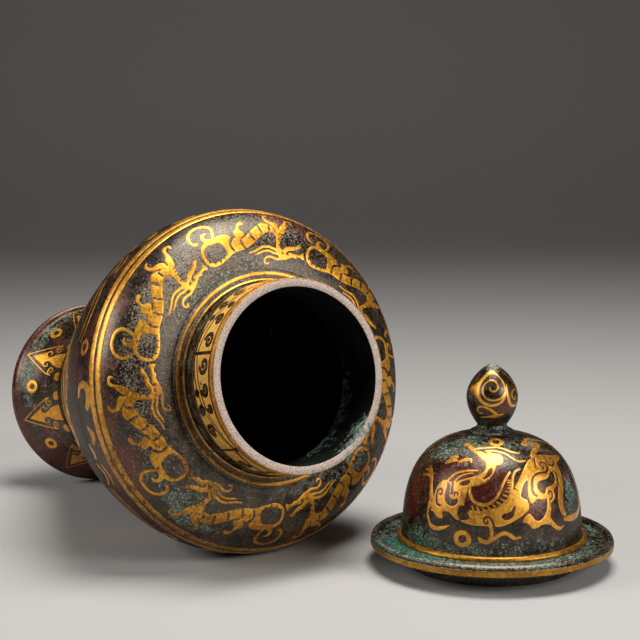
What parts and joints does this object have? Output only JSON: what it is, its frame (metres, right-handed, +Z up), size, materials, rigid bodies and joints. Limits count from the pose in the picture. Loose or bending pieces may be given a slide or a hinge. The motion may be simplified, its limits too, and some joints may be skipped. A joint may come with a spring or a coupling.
{
  "type": "lidded bronze jar",
  "caption": "Tall lidded jar of cast bronze with gold inlaid dragons, bands and scrolls, laid on its side with its domed lid and bud finial stood beside the mouth.",
  "frame": {"origin": "on the ground under the middle of the bounding box", "axes": "+X along the ground from the jar's foot towards its mouth, +Y towards the side where the lid stands, +Z up"},
  "size_m": [0.4096, 0.2726, 0.2013],
  "materials": {
    "jar_bronze": "dark brown patinated cast bronze with red and green corrosion in the hollows",
    "lid_bronze": "dark brown patinated cast bronze with green corrosion along the edges",
    "gold_band": "burnished gold, slightly worn",
    "gold_figure": "burnished gold with incised dark lines"
  },
  "bodies": {
    "jar": {"jar_body": "jar_bronze", "rim_band": "gold_band", "belly_band_1": "gold_band", "belly_band_2": "gold_band", "ledge_ring": "gold_band", "neck_ring": "gold_band", "lower_belly_line_1": "gold_band", "lower_belly_line_2": "gold_band", "shoulder_dragon_1": "gold_figure", "shoulder_dragon_2": "gold_figure", "shoulder_dragon_3": "gold_figure", "shoulder_dragon_4": "gold_figure", "shoulder_dragon_5": "gold_figure", "shoulder_dragon_6": "gold_figure", "shoulder_dragon_7": "gold_figure", "neck_panel_1_mouth_side": "gold_figure", "neck_panel_1_belly_side": "gold_figure", "neck_panel_2_mouth_side": "gold_figure", "neck_panel_2_belly_side": "gold_figure", "neck_panel_3_mouth_side": "gold_figure", "neck_panel_3_belly_side": "gold_figure", "neck_panel_4_mouth_side": "gold_figure", "neck_panel_4_belly_side": "gold_figure", "neck_panel_5_mouth_side": "gold_figure", "neck_panel_5_belly_side": "gold_figure", "neck_panel_6_mouth_side": "gold_figure", "neck_panel_6_belly_side": "gold_figure", "foot_triangle_1": "gold_figure", "foot_dot_1": "gold_figure", "foot_triangle_2": "gold_figure", "foot_dot_2": "gold_figure", "foot_triangle_3": "gold_figure", "foot_dot_3": "gold_figure", "foot_triangle_4": "gold_figure", "foot_dot_4": "gold_figure", "foot_triangle_5": "gold_figure", "foot_dot_5": "gold_figure", "foot_triangle_6": "gold_figure", "foot_dot_6": "gold_figure", "foot_triangle_7": "gold_figure", "foot_dot_7": "gold_figure", "foot_triangle_8": "gold_figure", "foot_dot_8": "gold_figure"},
    "lid": {"lid_shell": "lid_bronze", "lid_finial": "lid_bronze", "lid_edge_band": "gold_band", "lid_dome_band": "gold_band", "lid_beast_1": "gold_figure", "lid_dot_1": "gold_figure", "lid_crown_dot_1": "gold_figure", "lid_beast_2": "gold_figure", "lid_dot_2": "gold_figure", "lid_crown_dot_2": "gold_figure"}
  },
  "joints": [
    {"name": "lid_lift", "type": "slide", "parent": "jar", "child": "lid", "axis": [0.25, 0.6, 0.76], "range_m": [0, 0.12]}
  ]
}
